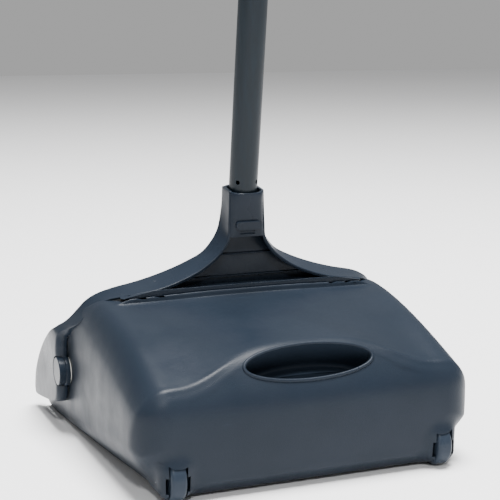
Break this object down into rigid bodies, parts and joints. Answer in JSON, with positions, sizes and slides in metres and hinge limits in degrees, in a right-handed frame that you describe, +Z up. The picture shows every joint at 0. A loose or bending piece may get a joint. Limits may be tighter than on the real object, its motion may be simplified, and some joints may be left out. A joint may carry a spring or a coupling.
{
  "type": "upright dustpan",
  "caption": "Hooded upright dustpan on two rear wheels, with an oval finger grip in its back and a long leaning handle on a yoke that swings on the pan's sides.",
  "frame": {"origin": "on the floor, under the middle of the bounding box", "axes": "+Z up, +Y forward to the pan's mouth, +X to the right as seen by the user behind the pan"},
  "size_m": [0.3174, 0.3038, 0.9406],
  "materials": {
    "pan_plastic": "fine-grained moulded polypropylene, satin",
    "yoke_plastic": "smooth moulded plastic, satin",
    "wheel_plastic": "smooth moulded plastic",
    "grip_plastic": "soft dark plastic",
    "tube_paint": "dark powder coat on steel tube",
    "spring_steel": "plain zinc-plated steel",
    "bright_steel": "plated steel",
    "washer_nylon": "natural nylon"
  },
  "bodies": {
    "pan": {"pan_shell": "pan_plastic", "wheel_axle_left": "spring_steel", "pivot_pin_left": "yoke_plastic", "pivot_washer_left": "washer_nylon", "pivot_retainer_left": "spring_steel", "wheel_axle_right": "spring_steel", "pivot_pin_right": "yoke_plastic", "pivot_washer_right": "washer_nylon", "pivot_retainer_right": "spring_steel"},
    "handle": {"yoke": "yoke_plastic", "handle_tube": "tube_paint", "tube_plug": "yoke_plastic", "button_spring": "spring_steel", "hand_grip": "grip_plastic", "end_cap": "grip_plastic", "broom_clip": "yoke_plastic", "clip_rivet": "bright_steel", "blank_badge": "yoke_plastic"},
    "button": {"lock_button": "bright_steel"},
    "left_wheel": {"wheel_left": "wheel_plastic"},
    "right_wheel": {"wheel_right": "wheel_plastic"}
  },
  "joints": [
    {"name": "handle_swing", "type": "hinge", "parent": "pan", "child": "handle", "pos_m": [0, 0.0569, 0.058], "axis": [-1, 0, 0], "range_deg": [0, 60]},
    {"name": "left_wheel_spin", "type": "hinge", "parent": "pan", "child": "left_wheel", "pos_m": [-0.1144, -0.1331, 0.0188], "axis": [1, 0, 0], "continuous": true},
    {"name": "right_wheel_spin", "type": "hinge", "parent": "pan", "child": "right_wheel", "pos_m": [0.1144, -0.1331, 0.0188], "axis": [1, 0, 0], "continuous": true},
    {"name": "button_press", "type": "slide", "parent": "handle", "child": "button", "axis": [0, -0.9898, -0.1426], "range_m": [0, 0.0054], "stiffness_N_per_m": 600, "springref_m": -0.003, "deforming": ["button_spring"]}
  ]
}
